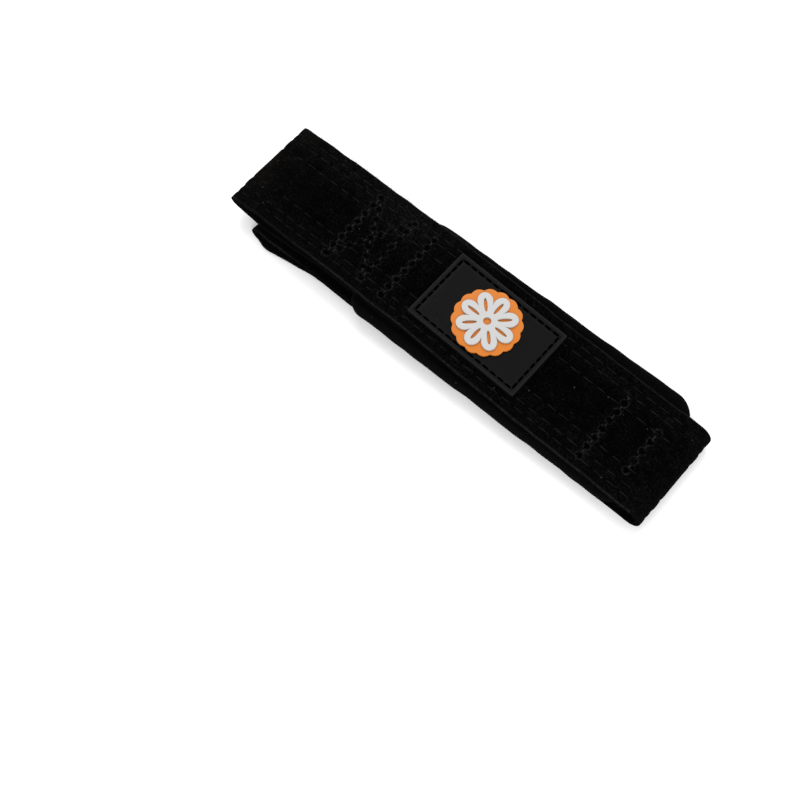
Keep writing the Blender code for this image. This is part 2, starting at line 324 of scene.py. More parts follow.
class Finish:
    """A material, and the one method that adds nodes to it."""

    def __init__(self, name: str) -> None:
        """Starts a material with only its shader and output."""
        self.material = bpy.data.materials.new(name)
        self.material.use_nodes = True
        self.tree = self.material.node_tree
        self.shader = self.tree.nodes["Principled BSDF"]

    def node(self, kind: str, settings: dict | None = None, sockets: dict | None = None, out: int | str = 0) -> Wire:
        """Adds a node, its settings first and then its sockets.

        Args:
            kind: The node's type.
            settings: Its properties, or a ramp's stops under "stops".
            sockets: Values or wires by socket name or number.
            out: Which output is returned.

        Returns:
            The output as a wire.
        """
        node = self.tree.nodes.new(kind)
        for key, value in (settings or {}).items():
            if key == "stops":
                self._stops(node.color_ramp, value)
            else:
                setattr(node, key, value)
        for key, value in (sockets or {}).items():
            self.put(node.inputs[key], value)
        return Wire(self, node.outputs[out])

    @staticmethod
    def _stops(ramp: bpy.types.ColorRamp, stops: Sequence[tuple[float, Sequence[float]]]) -> None:
        """Sets a ramp's stops as (place, colour) pairs."""
        while len(ramp.elements) < len(stops):
            ramp.elements.new(0.5)
        for element, (place, colour) in zip(ramp.elements, stops):
            element.position = place
            element.color = (*colour, 1.0)

    def put(self, socket: bpy.types.NodeSocket, value: object) -> None:
        """Links a wire to a socket, or sets its constant.

        Args:
            socket: The input.
            value: A wire, a number, or three or four numbers.
        """
        if isinstance(value, Wire):
            self.tree.links.new(value.socket, socket)
        elif isinstance(value, (tuple, list)) and socket.type == "RGBA":
            socket.default_value = (*value[:3], 1.0)
        else:
            socket.default_value = value

    def surface(self, **sockets: object) -> None:
        """Sets the shader's sockets, each named with _ for a space."""
        for key, value in sockets.items():
            self.put(self.shader.inputs[key.replace("_", " ")], value)

    def place(self) -> Wire:
        """The point's place on the object, in metres."""
        return self.node("ShaderNodeTexCoord", out="Object")

    def value(self, name: str) -> Wire:
        """A value kept on the mesh's points."""
        return self.node("ShaderNodeAttribute", {"attribute_name": name}, out="Fac")

    def noise(self, grain: float, detail: float = 3.0, rough: float = 0.55) -> Wire:
        """Cloudy noise whose grains are about this many metres wide.

        Args:
            grain: Size of a grain.
            detail: Octaves.
            rough: Strength of the finer octaves.

        Returns:
            Values about 0.5.
        """
        sockets = {"Vector": self.place(), "Scale": 1.0 / grain, "Detail": detail, "Roughness": rough}
        return self.node("ShaderNodeTexNoise", {}, sockets)

    def cells(self, size: float, feature: str = "F1") -> Wire:
        """Distance to scattered points about this far apart.

        Args:
            size: Mean spacing of the points.
            feature: The Voronoi feature.

        Returns:
            Distances in cells.
        """
        sockets = {"Vector": self.place(), "Scale": 1.0 / size}
        return self.node("ShaderNodeTexVoronoi", {"feature": feature}, sockets, "Distance")

    def mix(self, share: Wire | float, first: object, second: object) -> Wire:
        """Colour mix.

        Args:
            share: 0 for the first, 1 for the second.
            first: Colour or wire.
            second: Colour or wire.

        Returns:
            The mixed colour.
        """
        return self.node("ShaderNodeMix", {"data_type": "RGBA"}, {0: share, 6: first, 7: second}, 2)

    def bump(self, height: Wire, depth: float, strength: float = 1.0, under: Wire | None = None) -> Wire:
        """A normal bent by a height.

        Args:
            height: Height from 0 to 1.
            depth: Metres for a height of 1.
            strength: Share of the effect.
            under: A bump below this one.

        Returns:
            The normal.
        """
        sockets = {"Height": height, "Distance": depth, "Strength": strength}
        if under is not None:
            sockets["Normal"] = under
        return self.node("ShaderNodeBump", {}, sockets)


@dataclass(frozen=True)
class SuedeFinish:
    """Deep black napped suede: mottled, greyer where rubbed and under a painted sheen, painted shade in needle holes
    and the seam groove, blue-grey cut edges.
    """

    deep: tuple[float, float, float] = (0.0003, 0.0003, 0.0003)
    nap: tuple[float, float, float] = (0.0100, 0.0097, 0.0098)
    # Grey for rubbed nap and for the painted sheen.
    rub_and_sheen_grey: tuple[float, float, float] = (0.0100, 0.0098, 0.0098)
    fold: tuple[float, float, float] = (0.0125, 0.0100, 0.0086)
    lifted: tuple[float, float, float] = (0.0250, 0.0245, 0.0245)
    cut: tuple[float, float, float] = (0.0200, 0.0222, 0.0245)

    def build(self) -> bpy.types.Material:
        """Makes the material."""
        f = Finish("black_suede")
        cloud = f.noise(0.0050, 4.0, 0.65).between(0.32, 0.70)
        fine = f.noise(0.00034, 3.0, 0.75)
        speck = f.noise(0.00062, 3.0, 0.80).between(0.46, 0.76)
        colour = f.mix(speck * (0.12 + 0.68 * cloud), self.deep, self.nap)
        # Greyer where the nap is rubbed, plus a painted grey sheen at the fold, the borders, the near corner and the
        # far end.
        rub_and_sheen = f.value("rub_and_sheen") * (0.12 + 0.88 * speck) * (0.55 + 0.45 * cloud)
        colour = f.mix(rub_and_sheen.clamped(), colour, self.rub_and_sheen_grey)
        colour = f.mix((f.value("fold") * (0.30 + 0.70 * cloud) * (0.5 + 0.5 * speck)).clamped(), colour, self.fold)
        tuft = f.noise(0.0007, 2.0, 0.6).between(0.44, 0.66)
        colour = f.mix((f.value("lift") * tuft).clamped(), colour, self.lifted)
        lint = f.cells(0.0042).between(0.070, 0.040) * f.noise(0.016, 1.0).between(0.45, 0.55)
        colour = f.mix(lint * 0.75, colour, (0.055, 0.055, 0.060))
        at = f.value("hole_at") + (f.noise(0.0013, 3.0, 0.7) - 0.5) * 2.8
        patchy = f.noise(0.0026, 3.0, 0.7).between(0.34, 0.64)
        ring = (at - 1.45).math("ABSOLUTE").between(0.42, 0.08) * f.value("sewn") * (0.25 + 0.75 * tuft)
        colour = f.mix((ring * (0.10 + 0.66 * patchy)).clamped(), colour, self.lifted)
        # Painted shade: the suede's deepest black painted into the heavy rows' needle holes.
        colour = f.mix((at.between(1.15, 0.70) * f.value("sewn") * 1.4).clamped(), colour, self.deep)
        fray = f.noise(0.0011, 3.0, 0.7).between(0.36, 0.62)
        colour = f.mix((f.value("cut") * (0.22 + 0.78 * fray)).clamped(), colour, self.cut)
        # Painted shade in the edge rows' needle holes and in the cut edge's seam groove.
        colour = f.mix(f.value("hole_shade").clamped(), colour, (0.0004, 0.0004, 0.0004))
        pile = f.bump(fine, 0.00022, 0.9, f.bump(f.noise(0.0022, 3.0), 0.0004, 0.6))
        f.surface(Base_Color=colour, Roughness=0.88 + 0.10 * cloud, Normal=pile)
        f.surface(Sheen_Weight=0.006, Sheen_Roughness=0.45, Sheen_Tint=(0.9, 0.93, 1.0), Specular_IOR_Level=0.004)
        return f.material


@dataclass(frozen=True)
class ThreadFinish:
    """Twisted sewing thread with a soft gloss."""

    name: str
    colour: tuple[float, float, float]
    roughness: float = 0.45
    gloss: float = 0.35

    def build(self) -> bpy.types.Material:
        """Makes the material."""
        f = Finish(self.name)
        ply = f.value("twist")
        wear = f.noise(0.0030, 3.0, 0.6).between(0.36, 0.62)
        dark = tuple(0.22 * part for part in self.colour)
        colour = f.mix((0.40 + 0.60 * ply) * (0.25 + 0.75 * wear), dark, self.colour)
        fibre = f.bump(f.noise(0.00012, 2.0), 0.00004, 0.6, f.bump(ply, 0.00012, 0.8))
        f.surface(Base_Color=colour, Roughness=self.roughness, Normal=fibre)
        f.surface(Specular_IOR_Level=self.gloss)
        return f.material


@dataclass(frozen=True)
class FoamFinish:
    """Cloth-faced foam: fine speckled jersey, matt, with a painted highlight that makes its round border a little
    lighter.
    """

    dark: tuple[float, float, float] = (0.0006, 0.0006, 0.0007)
    # Lightest speckle, also the colour of the painted highlight on the rim.
    light: tuple[float, float, float] = (0.0056, 0.0056, 0.0057)

    def build(self) -> bpy.types.Material:
        """Makes the material."""
        f = Finish("grey_foam_cloth")
        wales = f.node(
            "ShaderNodeTexWave",
            {"bands_direction": "X", "wave_profile": "SIN"},
            {"Vector": f.place(), "Scale": 370.0, "Distortion": 2.5, "Detail": 2.0, "Detail Scale": 1.2},
        )
        courses = f.node(
            "ShaderNodeTexWave",
            {"bands_direction": "Y", "wave_profile": "SIN"},
            {"Vector": f.place(), "Scale": 430.0, "Distortion": 2.5, "Detail": 2.0, "Detail Scale": 1.2},
        )
        knit = wales * courses
        speck = f.noise(0.0005, 3.0, 0.75).between(0.42, 0.66)
        cloud = f.noise(0.009, 3.0).between(0.3, 0.7)
        # The rim value paints a highlight along the pad's round outer border.
        share = (0.06 + 0.42 * speck + 0.14 * knit) * (0.55 + 0.45 * cloud) + 0.26 * f.value("rim") * (0.4 + 0.6 * speck)
        colour = f.mix(share.clamped(), self.dark, self.light)
        lint = f.cells(0.0050).between(0.055, 0.030)
        colour = f.mix(lint * 0.5, colour, (0.055, 0.055, 0.060))
        weave = f.bump(knit, 0.00012, 0.8, f.bump(f.noise(0.0004), 0.00008, 0.6))
        f.surface(Base_Color=colour, Roughness=0.82 + 0.12 * speck, Normal=weave)
        f.surface(Sheen_Weight=0.004, Sheen_Roughness=0.5, Specular_IOR_Level=0.01)
        return f.material


@dataclass(frozen=True)
class RubberFinish:
    """Moulded soft rubber: fine matt grain, dust, and paler shoulders where a highlight is painted."""

    name: str
    colour: tuple[float, float, float]
    # Colour of the painted edge highlight, also the paler end of the random cloud.
    edge_highlight: tuple[float, float, float]
    roughness: float = 0.5
    gloss: float = 0.35
    dusty: float = 0.3

    def build(self) -> bpy.types.Material:
        """Makes the material."""
        f = Finish(self.name)
        cloud = f.noise(0.008, 3.0).between(0.32, 0.68)
        grain = f.noise(0.00022, 2.0, 0.6)
        # Painted highlight on the round shoulder, the flat rim and the groove's inner edge, with a little random
        # cloud.
        colour = f.mix((f.value("edge_highlight") * 0.9 + 0.10 * cloud).clamped(), self.colour, self.edge_highlight)
        dust = f.cells(0.0019).between(0.085, 0.05) * f.noise(0.01, 2.0).between(0.42, 0.60)
        colour = f.mix(dust * self.dusty, colour, tuple(min(1.0, 2.2 * part + 0.05) for part in self.edge_highlight))
        skin = f.bump(grain, 0.00003, 0.55, f.bump(f.noise(0.003, 2.0), 0.00006, 0.5))
        f.surface(Base_Color=colour, Roughness=self.roughness + 0.10 * cloud, Normal=skin)
        f.surface(Specular_IOR_Level=self.gloss)
        return f.material


# ---------------------------------------------------------------- the folded bundle


@dataclass(frozen=True)
class Bundle:
    """Sizes of the folded strap and the heights of its layers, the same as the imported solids'."""

    length: float = 0.1910
    half_width: float = 0.0200
    wall: float = 0.0022
    gap: float = 0.0003
    shift: float = -0.0011
    loop_opening: float = 0.0043
    loop_depth: float = 0.0034
    loop_reach: float = 0.0028
    loop_belly: float = 0.0175
    nose_drop: float = 0.0012
    box_start: float = 0.0442
    loop_end: float = 0.0847
    tail_setback: float = 0.0115
    tail_bend_height: float = 0.0050
    tail_bend_reach: float = 0.0026
    tail_closes: float = 0.0300
    tail_tip: float = 0.0820
    tip_radius: float = 0.0150
    drift_under_pad: float = -0.0008
    drift_bend: float = -0.0046
    fold_share: float = 0.35
    fold_run: float = 0.0100
    drift_tip: float = -0.0012
    tail_swings: float = 0.0360
    pad_start: float = 0.0600
    pad_end: float = 0.1820
    pad_thick: float = 0.0052
    pad_squeeze: float = 0.02
    pad_step: float = 0.0450

    @property
    def half_wall(self) -> float:
        """Half the suede's thickness."""
        return self.wall / 2

    @property
    def layer(self) -> float:
        """One thickness of suede and the gap on it."""
        return self.wall + self.gap

    @property
    def fold_end(self) -> float:
        """Run where the loop's fold begins."""
        return self.half_wall + self.loop_reach

    def floor(self, run: Array) -> Array:
        """Middle of the strap on the floor: half its wall everywhere."""
        return np.full_like(run, self.half_wall)

    def tail(self, run: Array) -> Array:
        """Middle of the turned-in tail: raised at its bend, eased down on the floor run.

        Args:
            run: Runs.

        Returns:
            Heights.
        """
        rise = self.tail_bend_height - self.wall - self.layer
        return self.half_wall + self.layer + rise * (1.0 - ease((run - self.tail_setback) / self.tail_closes))

    def swing(self, run: Array) -> Array:
        """A share at the tail's fold, about 1 just past it, 0 where it has swung back under the bundle."""
        past_fold = run - self.tail_setback
        grown = self.fold_share + (1.0 - self.fold_share) * ease(past_fold / self.fold_run)
        return grown * (1.0 - ease(past_fold / self.tail_swings))

    def floor_drift(self, run: Array) -> Array:
        """Sideways place of the floor run: a slow line, bent out to the tail's bend."""
        wandered = self.drift_under_pad * (self.length - run) / (self.length - self.tail_setback)
        return blend(wandered, self.drift_bend, self.swing(run))

    def tail_drift(self, run: Array) -> Array:
        """Sideways place of the turned-in tail: half out at its bend, then a line to its tip."""
        share = (run - self.tail_setback) / (self.tail_tip - self.tail_setback)
        return blend(blend(self.drift_under_pad, self.drift_tip, share), self.drift_bend, self.swing(run) / 2)

    def pad_bottom(self, run: Array) -> Array:
        """Pad's underside: two layers up to the tail's tip, down to one at its far end.

        Args:
            run: Runs.

        Returns:
            Heights.
        """
        share = np.clip((run - self.tail_tip) / (self.pad_end - self.tail_tip), 0.0, 1.0)
        return blend(2 * self.layer, self.layer, share)

    def past_loop(self, run: Array) -> Array:
        """0 on the loop's sewn end, 1 past it, straight between."""
        return np.clip((run - self.loop_end) / self.pad_step, 0.0, 1.0)

    def pad_top(self, run: Array) -> Array:
        """Pad's upper face, squeezed below the loop's sewn end.

        Args:
            run: Runs.

        Returns:
            Heights.
        """
        squeeze = self.pad_squeeze * self.pad_thick * (1.0 - self.past_loop(run))
        return self.pad_bottom(run) + self.pad_thick - squeeze

    def upper_wall(self, run: Array) -> Array:
        """Upper wall without its fall to the fold: from above the open loop down to the pad.

        Args:
            run: Runs.

        Returns:
            Heights.
        """
        on_tail = self.tail(np.array(self.tail_setback)) + 2 * self.layer + self.loop_opening
        on_pad = self.pad_top(np.array(self.loop_end)) + self.gap + self.half_wall + self.layer
        return blend(on_tail, on_pad, ease((run - self.loop_belly) / (self.pad_start - self.loop_belly)))

    def loop_floor(self, run: Array) -> Array:
        """Loop's lower wall without its fold, held under the upper one by the opening.

        Args:
            run: Runs.

        Returns:
            Heights.
        """
        opening = self.loop_opening * (1.0 - ease((run - self.loop_belly) / (self.box_start - self.loop_belly)))
        return self.upper_wall(run) - self.layer - opening

    def short_of_belly(self, run: Array) -> Array:
        """1 at the loop's fold, 0 from its belly on."""
        return 1.0 - ease((run - self.fold_end) / (self.loop_belly - self.fold_end))

    def top(self, run: Array) -> Array:
        """Middle of the upper run: over the open loop, then on its sewn end, then on the pad.

        Args:
            run: Runs.

        Returns:
            Heights.
        """
        over_loop = self.upper_wall(run) - self.nose_drop * self.short_of_belly(run)
        on_pad = self.pad_top(run) + self.gap + self.half_wall + self.layer * (1.0 - self.past_loop(run))
        return np.where(run > self.loop_end, on_pad, over_loop)

    def loop_return(self, run: Array) -> Array:
        """Middle of the loop's lower wall, falling from the fold to the belly.

        Args:
            run: Runs.

        Returns:
            Heights.
        """
        fold = np.array(self.fold_end)
        drop = self.top(fold) - self.loop_depth - self.loop_floor(fold)
        return self.loop_floor(run) + drop * self.short_of_belly(run)

    def top_face(self, run: Array) -> Array:
        """Upper face of the upper run."""
        return self.top(run) + self.half_wall


class Lay(Enum):
    """The strap's four runs, in order from the loop's sewn end."""

    LOOP_RETURN = 0
    TOP = 1
    FLOOR = 2
    TAIL = 3


@dataclass
class Route:
    """The strap's middle line as arrays along it, with its arc length."""

    run: Array
    height: Array
    drift: Array
    half_width: Array
    lay: Array
    arc: Array
    normal: Array

    def at(self, arc: Array, across: Array, off: Array, bundle: Bundle) -> Array:
        """Places on the strap: middle line at an arc length, plus across along Y, plus off along the normal.

        Args:
            arc: Arc lengths.
            across: Distances from the middle line along Y.
            off: Distances along the normal, positive on the outer face.
            bundle: The bundle's sizes.

        Returns:
            Points by three.
        """
        nx = np.interp(arc, self.arc, self.normal[:, 0])
        nz = np.interp(arc, self.arc, self.normal[:, 1])
        x = np.interp(arc, self.arc, self.run) - bundle.length / 2 + nx * off
        y = bundle.shift + np.interp(arc, self.arc, self.drift) + across
        z = np.interp(arc, self.arc, self.height) + nz * off
        return np.stack([x, y, z], axis=-1)

    def arc_on(self, lay: Lay, run: Array) -> Array:
        """Arc lengths of runs on one lay.

        Args:
            lay: The lay.
            run: Runs.

        Returns:
            Arc lengths.
        """
        mine = self.lay == lay.value
        order = np.argsort(self.run[mine])
        return np.interp(run, self.run[mine][order], self.arc[mine][order])

    def normals(self, arc: Array) -> Array:
        """Outer normals at arc lengths, as points by three."""
        nx = np.interp(arc, self.arc, self.normal[:, 0])
        nz = np.interp(arc, self.arc, self.normal[:, 1])
        return np.stack([nx, np.zeros_like(nx), nz], axis=-1)


@dataclass(frozen=True)
class NeedleRow:
    """One heavy row of sewing across the upper face, from one (run, across) to another."""

    start: tuple[float, float]
    end: tuple[float, float]
    pitch: float = 0.0041
    strength: float = 1.0

    def places(self, run: Array, across: Array) -> tuple[Array, Array, Array]:
        """Where points lie against the row: distance off its line, distance to its next hole, 1 inside its length.

        Args:
            run: Runs.
            across: Distances from the strap's middle line.

        Returns:
            Distance off, distance to a hole, and the mask.
        """
        vector = np.array(self.end) - np.array(self.start)
        total = float(np.hypot(*vector))
        unit = vector / total
        dx, dy = run - self.start[0], across - self.start[1]
        along = dx * unit[0] + dy * unit[1]
        off = dy * unit[0] - dx * unit[1]
        pitch = total / max(1, round(total / self.pitch))
        nearest = along - pitch * np.clip(np.round(along / pitch), 0, round(total / pitch))
        inside = ease((along + 0.0015) / 0.0015) * ease((total + 0.0015 - along) / 0.0015)
        return off, np.hypot(nearest, off), inside

    def stitches(self) -> tuple[Array, Array]:
        """Ends of each stitch as (run, across) pairs."""
        vector = np.array(self.end) - np.array(self.start)
        count = max(1, round(float(np.hypot(*vector)) / self.pitch))
        knots = np.array(self.start) + np.linspace(0.0, 1.0, count + 1)[:, None] * vector
        return knots[:-1], knots[1:]


@dataclass
class SuedeStrap:
    """The folded suede strip, its sewing and its loose pile."""

    bundle: Bundle
    step: float = 0.00104
    fine_step: float = 0.00045
    outer_columns: int = 80
    inner_columns: int = 40
    corner: float = 0.00032
    seam_groove: float = 0.00028
    edge_rows: tuple[float, ...] = (0.0163, 0.01325, 0.0081)
    stitch_pitch: float = 0.0057
    stitch_length: float = 0.0044
    thread: float = 0.00015
    row_depth: float = 0.00026
    cross_rows: tuple[NeedleRow, ...] = (
        NeedleRow((0.0449, -0.0155), (0.0449, 0.0145)),
        NeedleRow((0.0617, -0.0148), (0.0617, 0.0140), strength=0.6),
        NeedleRow((0.0459, -0.0145), (0.0609, 0.0130), strength=0.55),
        NeedleRow((0.0459, 0.0135), (0.0609, -0.0140), strength=0.55),
        NeedleRow((0.0717, -0.0152), (0.0717, 0.0135)),
        NeedleRow((0.1613, -0.0152), (0.1613, 0.0134)),
        NeedleRow((0.1764, -0.0094), (0.1764, 0.0084)),
    )
    fine_zones: tuple[tuple[float, float], ...] = ((0.0424, 0.0638), (0.0695, 0.0739), (0.1592, 0.1634), (0.1743, 0.1785))

    def __post_init__(self) -> None:
        """Lays the route once, for every piece that follows it."""
        self.route = self.lay_route()

    def lay_route(self) -> Route:
        """The middle line: four runs whose heights are the bundle's, joined by three half ellipses.

        Returns:
            The route.
        """
        b = self.bundle
        half_rise = (float(b.top(np.array(b.pad_end))) - b.half_wall) / 2
        reach = min(half_rise, b.length - b.pad_end - b.half_wall - b.gap)
        far = b.length - b.half_wall - reach
        near = b.tail_setback + b.half_wall + b.tail_bend_reach
        lays = [
            (b.loop_end, b.fold_end, b.loop_return, np.zeros_like),
            (b.fold_end, far, b.top, np.zeros_like),
            (far, near, b.floor, b.floor_drift),
            (near, b.tail_tip, b.tail, b.tail_drift),
        ]
        reaches = [-b.loop_reach, reach, -b.tail_bend_reach]
        parts = []
        for index, (start, end, height, drift) in enumerate(lays):
            run = self.lay_runs(start, end, index)
            parts.append((run, height(run), drift(run), np.full_like(run, index)))
            if index < len(reaches):
                following = lays[index + 1][2](np.array([end]))[0]
                aside = blend(drift(np.array([end]))[0], lays[index + 1][3](np.array([end]))[0], np.linspace(0.0, 1.0, 30)[1:-1])
                angle = np.linspace(0.0, math.pi, 30)[1:-1]
                middle, half = (parts[-1][1][-1] + following) / 2, (parts[-1][1][-1] - following) / 2
                out = end + reaches[index] * np.sin(angle)
                parts.append((out, middle + half * np.cos(angle), aside, np.full_like(angle, -1)))
        run, height, drift, lay = (np.concatenate(columns) for columns in zip(*parts))
        arc = np.concatenate([[0.0], np.cumsum(np.hypot(np.diff(run), np.diff(height)))])
        tangent = np.stack([np.gradient(run, arc), np.gradient(height, arc)], axis=1)
        tangent /= np.linalg.norm(tangent, axis=1, keepdims=True)
        normal = np.stack([-tangent[:, 1], tangent[:, 0]], axis=1)
        half_width = np.full_like(run, b.half_width)
        tail = lay == Lay.TAIL.value
        half_width[tail] = round_ended(b.tail_tip - run[tail], b.half_width, b.tip_radius)
        return Route(run, height, drift, half_width, lay, arc, normal)

    def lay_runs(self, start: float, end: float, index: int) -> Array:
        """Stations along one lay: even, closer at the needle rows of the top and at the tail's tip.

        Args:
            start: First run.
            end: Last run.
            index: The lay's number.

        Returns:
            Runs in order from start to end.
        """
        even = np.linspace(start, end, max(3, round(abs(end - start) / self.step)))
        if index == Lay.TOP.value:
            for low, high in self.fine_zones:
                fine = np.arange(low, high, self.fine_step)
                even = np.concatenate([even[(even < low - self.fine_step) | (even > high)], fine])
            even = np.sort(even)
        if index == Lay.TAIL.value:
            turned = end - self.bundle.tip_radius * (1.0 - np.sin(np.linspace(0.0, math.pi / 2, 26)))
            even = np.concatenate([even[even < turned[0] - self.fine_step], turned])
        return even

    def relief(self, arc: Array, run: Array, across: Array, on_top: Array) -> tuple[Array, ...]:
        """Height of the napped face: valleys along the stitch rows, bells down at holes, rings of lifted pile.

        Args:
            arc: Arc lengths.
            run: Runs.
            across: Distances from the middle line.
            on_top: 1 on the upper run's outer face.

        Returns:
            Height, lifted pile mask, the painted shade of the edge rows' needle holes, millimetres to the nearest
            heavy hole, and that row's strength.
        """
        height = 0.00010 * ripple(arc, across, 0.031, 1.0) + 0.00004 * ripple(across, arc, 0.006, 4.0)
        hole_shade = np.zeros_like(height)
        for number, row in enumerate(self.edge_rows):
            valley = bell(np.abs(across) - row, 0.0007)
            beat = 0.5 + 0.5 * np.cos(2 * math.pi * arc / self.stitch_pitch + 2.1 * number + 1.3 * np.sign(across))
            height = height - self.row_depth * valley * (0.65 + 0.35 * beat**4)
            # Painted shade: each edge row's needle holes, between its stitches, are darkened.
            hole_shade = hole_shade + 0.35 * valley * beat**12
        height = height + 0.00012 * bell(np.abs(across) - 0.0108, 0.0016)
        lift, sewn, nearest = np.zeros_like(height), np.zeros_like(height), np.full_like(height, 0.008)
        for row in self.cross_rows:
            off, to_hole, inside = row.places(run, across)
            mask = on_top * inside * row.strength
            height = height - mask * (0.00022 * bell(off, 0.0012) + 0.00080 * bell(to_hole, 0.00072))
            height = height + mask * 0.00024 * bell(to_hole - 0.00150, 0.00040)
            lift = lift + mask * 0.06 * bell(off, 0.0020)
            # Strength of the nearest heavy row: it gates the lifted-pile rings and the painted shade in its holes.
            sewn = np.where(to_hole < nearest, on_top * row.strength, sewn)
            nearest = np.minimum(nearest, to_hole)
        tousled = on_top * bell(run - 0.060, 0.014) * ease((across + 0.001) / 0.012)
        lift = lift + 0.34 * tousled * (0.5 + 0.5 * ripple(run, across, 0.005, 3.0))
        return height, lift, np.clip(hole_shade, 0.0, 1.0), 1000 * nearest, sewn

    def rub_and_sheen(self, run: Array, across: Array, on_top: Array) -> Array:
        """Where the nap is rubbed grey, with a painted grey sheen on top of the wear: at the loop's fold, along both
        borders and past the far bend.

        Args:
            run: Runs.
            across: Distances from the middle line.
            on_top: 1 on the upper run's outer face.

        Returns:
            Values from 0 to about 1.
        """
        border = 0.34 * ease((np.abs(across) - 0.0085) / 0.006)
        far = 0.31 * ease((run - 0.176) / 0.012)
        corner = 0.36 * bell(run - 0.032, 0.026) * ease((across - 0.001) / 0.013) * on_top
        loop = 0.28 * bell(run, 0.018)
        return np.clip(0.02 + border + far + corner + loop, 0.0, 1.2)

    def fold_wear(self, run: Array, across: Array) -> Array:
        """Brownish wear at the loop's fold: a bell of the run, patchy across."""
        return np.clip(0.60 * bell(run, 0.0080) * (0.7 + 0.6 * ripple(across, run, 0.021, 5.0)), 0.0, 1.0)

    def profile(self) -> tuple[Array, Array, Array, Array]:
        """The strip's cross-section, once round: outer face, cut edge with its seam groove, inner face, cut edge.

        Returns:
            Across as a share of the half width, a small inward offset, off along the normal, and the cut mask,
            negative in the seam groove where shade is painted.
        """
        t, c, g = self.bundle.half_wall, self.corner, self.seam_groove
        outer = np.linspace(-1.0, 1.0, self.outer_columns + 1)
        inner = np.linspace(1.0, -1.0, self.inner_columns + 1)
        side_off = np.array([t - 0.3 * c, t - c, 0.45 * t, 0.00012, 0.0, -0.00012, -0.45 * t, c - t, 0.3 * c - t])
        side_in = np.array([0.3 * c, 0.0, 0.0, 0.3 * g, g, 0.3 * g, 0.0, 0.0, 0.3 * c])
        # A negative cut value marks the seam groove, where shade is painted in.
        side_cut = np.array([1.0, 0.16, 0.05, 0.20, -0.8, 0.20, 0.05, 0.05, 0.08])
        share = np.concatenate([outer, np.ones(9), inner, -np.ones(9)])
        inward = np.concatenate([np.full(outer.size, c), side_in, np.full(inner.size, c), side_in])
        off = np.concatenate([np.full(outer.size, t), side_off, np.full(inner.size, -t), -side_off])
        cut = np.concatenate([np.zeros(outer.size), side_cut, np.zeros(inner.size), side_cut[::-1]])
        return share, inward, off, cut

    def build_strip(self) -> bpy.types.Object:
        """The strip: its profile carried along the route, with the relief added along the normal.

        Returns:
            The object.
        """
        b, r = self.bundle, self.route
        share, inward, off, cut = self.profile()
        rows, columns = r.run.size, share.size
        arc, run = r.arc[:, None], r.run[:, None]
        wave = 0.00022 * ripple(arc, np.sign(share)[None, :] * 0.05, 0.037, 2.0)
        across = share * (r.half_width[:, None] + wave - inward)
        outer = np.zeros(columns)
        outer[: self.outer_columns + 1] = 1.0
        on_top = outer[None, :] * np.isin(r.lay, (Lay.TOP.value,)).astype(float)[:, None]
        height, lift, hole_shade, nearest, sewn = self.relief(arc + 0 * across, run + 0 * across, across, on_top)
        face = np.abs(off) > b.half_wall - 1e-6
        side = np.sign(off)[None, :] * face[None, :]
        distance = off[None, :] + height * side
        points = r.at(np.broadcast_to(arc, across.shape), across, distance, b)
        low = np.maximum(points[..., 2], 0.00002)
        points[..., 2] = low
        # Rubbed nap and painted sheen, on both faces.
        rub_and_sheen = self.rub_and_sheen(run + 0 * across, across, on_top) * face[None, :]
        border = ease((np.abs(share) - 0.990) / 0.010) * face * (off > 0) * 0.45
        upper = (r.lay == Lay.TOP.value)[:, None]
        fresh = np.where(upper, 0.45 + 0.55 * ease((run - 0.030) / 0.022), 0.75 - 0.60 * ease((run - 0.026) / 0.014))
        values = {
            "cut": (np.clip(cut + border, 0.0, 1.0)[None, :] * fresh).reshape(-1),
            # Painted shade of the needle holes and of the seam groove.
            "hole_shade": np.clip(hole_shade * face[None, :] + np.clip(-cut, 0.0, 1.0)[None, :], 0.0, 1.0).reshape(-1),
            "lift": (lift * face[None, :]).reshape(-1),
            "rub_and_sheen": rub_and_sheen.reshape(-1),
            "hole_at": nearest.reshape(-1),
            "sewn": (sewn * face[None, :]).reshape(-1),
            "fold": (self.fold_wear(run + 0 * across, across) * face[None, :]).reshape(-1),
        }
        quads = grid_quads(rows, columns, wrap=True)[:, ::-1]
        first = np.arange(columns)
        caps = [first.tolist(), (first[::-1] + (rows - 1) * columns).tolist()]
        return Surface(points.reshape(-1, 3), quads, caps, values).to_object("suede_strip")

    def build_edge_stitching(self) -> bpy.types.Object:
        """The thin running stitches: short threads laid in the rows' valleys, their ends sunk.

        Returns:
            The object.
        """
        r, b = self.route, self.bundle
        total = r.arc[-1]
        threads = []
        for face in (1.0, -1.0):
            for number, row in enumerate(self.edge_rows):
                for sign in (1.0, -1.0):
                    first = -(2.1 * number + 1.3 * sign) / (2 * math.pi) * self.stitch_pitch
                    start = first + self.stitch_pitch * np.arange(2, int(total / self.stitch_pitch))
                    start = start[(start > 0.002) & (start < total - 0.016 - self.stitch_pitch)]
                    if face < 0:
                        start = start[self.open_inside(start)]
                    threads.append(self.stitch_lines(start, sign * row, face, number))
        lines = np.concatenate([line for line, _ in threads])
        up = np.concatenate([direction for _, direction in threads])
        radii = self.thread * np.array([0.55, 0.9, 1.0, 1.0, 0.9, 0.55])
        return tubes(lines, up, radii, 6, twist=4.0).to_object("edge_stitching")

    def open_inside(self, arc: Array) -> Array:
        """Where the inner face can be seen: in the hand loop, the far bend and the tail's bend.

        Args:
            arc: Arc lengths.

        Returns:
            True where it is open.
        """
        b = self.bundle
        run = np.interp(arc, self.route.arc, self.route.run)
        first_half = arc < self.route.arc_on(Lay.TOP, np.array(b.box_start))
        return (first_half & (run < b.box_start - 0.006)) | (run > b.pad_end)

